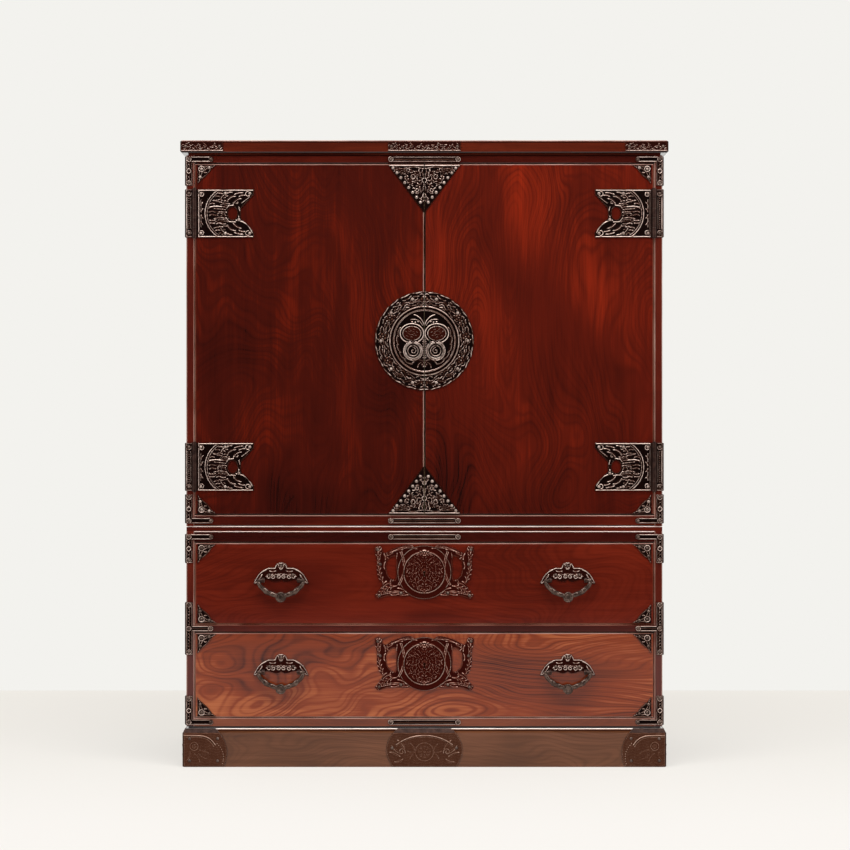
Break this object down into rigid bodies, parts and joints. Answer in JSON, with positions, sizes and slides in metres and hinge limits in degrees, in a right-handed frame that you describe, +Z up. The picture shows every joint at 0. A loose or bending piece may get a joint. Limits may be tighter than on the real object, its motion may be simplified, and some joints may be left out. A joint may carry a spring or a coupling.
{
  "type": "clothing chest",
  "caption": "Free-standing wardrobe chest of stacked wooden cases, hinged doors over wide drawers, relief iron fittings, drop handles and a plinth base.",
  "frame": {"origin": "on the floor, under the middle of the chest's bounding box", "axes": "+X to the viewer's right, +Y towards the back, +Z up; the doors and drawers face -Y"},
  "size_m": [1.0814, 0.47, 1.385],
  "materials": {
    "lacquered_wood": "glossy red-brown urushi over zelkova",
    "plain_wood": "bare paulownia",
    "iron": "dark baked lacquer on hammered iron",
    "steel": "plain"
  },
  "bodies": {
    "carcass": {"base_rails": "lacquered_wood", "base_corner_blocks": "plain_wood", "lower_fittings": "iron", "upper_fittings": "iron", "case_nails": "iron", "lower_case_sides": "lacquered_wood", "lower_case_floor": "lacquered_wood", "lower_middle_rail": "lacquered_wood", "lower_case_top": "lacquered_wood", "lower_drawer_runners": "plain_wood", "case_spacer": "lacquered_wood", "upper_case_sides": "lacquered_wood", "upper_case_floor": "lacquered_wood", "upper_case_top": "lacquered_wood", "case_backs": "plain_wood", "crown_board": "lacquered_wood", "shelf_and_runners": "plain_wood", "hinge_case_leaves": "iron", "hinge_pins": "steel"},
    "left_door": {"left_door_panel": "lacquered_wood", "left_door_frame": "plain_wood", "left_door_plates": "iron", "left_door_nails": "iron", "left_hinge_leaves": "iron", "left_crest_plate": "iron"},
    "right_door": {"right_door_panel": "lacquered_wood", "right_door_frame": "plain_wood", "right_door_plates": "iron", "right_door_nails": "iron", "right_hinge_leaves": "iron", "right_crest_plate": "iron", "door_lock_case": "steel"},
    "left_ring": {"left_ring_pull": "iron"},
    "right_ring": {"right_ring_pull": "iron"},
    "door_bolt": {"door_lock_bolt": "steel"},
    "upper_drawer": {"upper_drawer_front": "lacquered_wood", "upper_drawer_box": "plain_wood", "upper_drawer_plates": "iron", "upper_drawer_lock": "iron", "upper_drawer_nails": "iron", "upper_handle_plates": "iron"},
    "upper_left_handle": {"upper_left_bail": "iron"},
    "upper_right_handle": {"upper_right_bail": "iron"},
    "upper_bolt": {"upper_lock_bolt": "steel"},
    "lower_drawer": {"lower_drawer_front": "lacquered_wood", "lower_drawer_box": "plain_wood", "lower_drawer_plates": "iron", "lower_drawer_lock": "iron", "lower_drawer_nails": "iron", "lower_handle_plates": "iron"},
    "lower_left_handle": {"lower_left_bail": "iron"},
    "lower_right_handle": {"lower_right_bail": "iron"},
    "lower_bolt": {"lower_lock_bolt": "steel"},
    "tray_1_body": {"tray_1": "plain_wood"},
    "tray_2_body": {"tray_2": "plain_wood"},
    "tray_3_body": {"tray_3": "plain_wood"},
    "tray_4_body": {"tray_4": "plain_wood"},
    "tray_5_body": {"tray_5": "plain_wood"},
    "left_inner_drawer": {"left_small_drawer": "plain_wood"},
    "right_inner_drawer": {"right_small_drawer": "plain_wood"}
  },
  "joints": [
    {"name": "left_door_hinge", "type": "hinge", "parent": "carcass", "child": "left_door", "pos_m": [-0.50825, -0.2195, 0.94575], "axis": [0, 0, -1], "range_deg": [0, 175]},
    {"name": "right_door_hinge", "type": "hinge", "parent": "carcass", "child": "right_door", "pos_m": [0.50825, -0.2195, 0.94575], "axis": [0, 0, 1], "range_deg": [0, 175]},
    {"name": "left_ring_swing", "type": "hinge", "parent": "left_door", "child": "left_ring", "pos_m": [-0.025, -0.224, 0.93775], "axis": [-1, 0, 0], "range_deg": [0, 80]},
    {"name": "right_ring_swing", "type": "hinge", "parent": "right_door", "child": "right_ring", "pos_m": [0.025, -0.224, 0.93775], "axis": [-1, 0, 0], "range_deg": [0, 80]},
    {"name": "door_bolt_throw", "type": "slide", "parent": "right_door", "child": "door_bolt", "axis": [-1, 0, 0], "range_m": [0, 0.008]},
    {"name": "upper_drawer_slide", "type": "slide", "parent": "carcass", "child": "upper_drawer", "axis": [0, -1, 0], "range_m": [0, 0.34]},
    {"name": "upper_left_bail_swing", "type": "hinge", "parent": "upper_drawer", "child": "upper_left_handle", "pos_m": [-0.317, -0.229, 0.41325], "axis": [-1, 0, 0], "range_deg": [0, 100]},
    {"name": "upper_right_bail_swing", "type": "hinge", "parent": "upper_drawer", "child": "upper_right_handle", "pos_m": [0.317, -0.229, 0.41325], "axis": [-1, 0, 0], "range_deg": [0, 100]},
    {"name": "upper_bolt_throw", "type": "slide", "parent": "upper_drawer", "child": "upper_bolt", "axis": [0, 0, 1], "range_m": [0, 0.008]},
    {"name": "lower_drawer_slide", "type": "slide", "parent": "carcass", "child": "lower_drawer", "axis": [0, -1, 0], "range_m": [0, 0.34]},
    {"name": "lower_left_bail_swing", "type": "hinge", "parent": "lower_drawer", "child": "lower_left_handle", "pos_m": [-0.317, -0.229, 0.2105], "axis": [-1, 0, 0], "range_deg": [0, 100]},
    {"name": "lower_right_bail_swing", "type": "hinge", "parent": "lower_drawer", "child": "lower_right_handle", "pos_m": [0.317, -0.229, 0.2105], "axis": [-1, 0, 0], "range_deg": [0, 100]},
    {"name": "lower_bolt_throw", "type": "slide", "parent": "lower_drawer", "child": "lower_bolt", "axis": [0, 0, 1], "range_m": [0, 0.008]},
    {"name": "tray_1_slide", "type": "slide", "parent": "carcass", "child": "tray_1_body", "axis": [0, -1, 0], "range_m": [0, 0.012]},
    {"name": "tray_2_slide", "type": "slide", "parent": "carcass", "child": "tray_2_body", "axis": [0, -1, 0], "range_m": [0, 0.012]},
    {"name": "tray_3_slide", "type": "slide", "parent": "carcass", "child": "tray_3_body", "axis": [0, -1, 0], "range_m": [0, 0.012]},
    {"name": "tray_4_slide", "type": "slide", "parent": "carcass", "child": "tray_4_body", "axis": [0, -1, 0], "range_m": [0, 0.012]},
    {"name": "tray_5_slide", "type": "slide", "parent": "carcass", "child": "tray_5_body", "axis": [0, -1, 0], "range_m": [0, 0.012]},
    {"name": "left_inner_drawer_slide", "type": "slide", "parent": "carcass", "child": "left_inner_drawer", "axis": [0, -1, 0], "range_m": [0, 0.012]},
    {"name": "right_inner_drawer_slide", "type": "slide", "parent": "carcass", "child": "right_inner_drawer", "axis": [0, -1, 0], "range_m": [0, 0.012]}
  ]
}
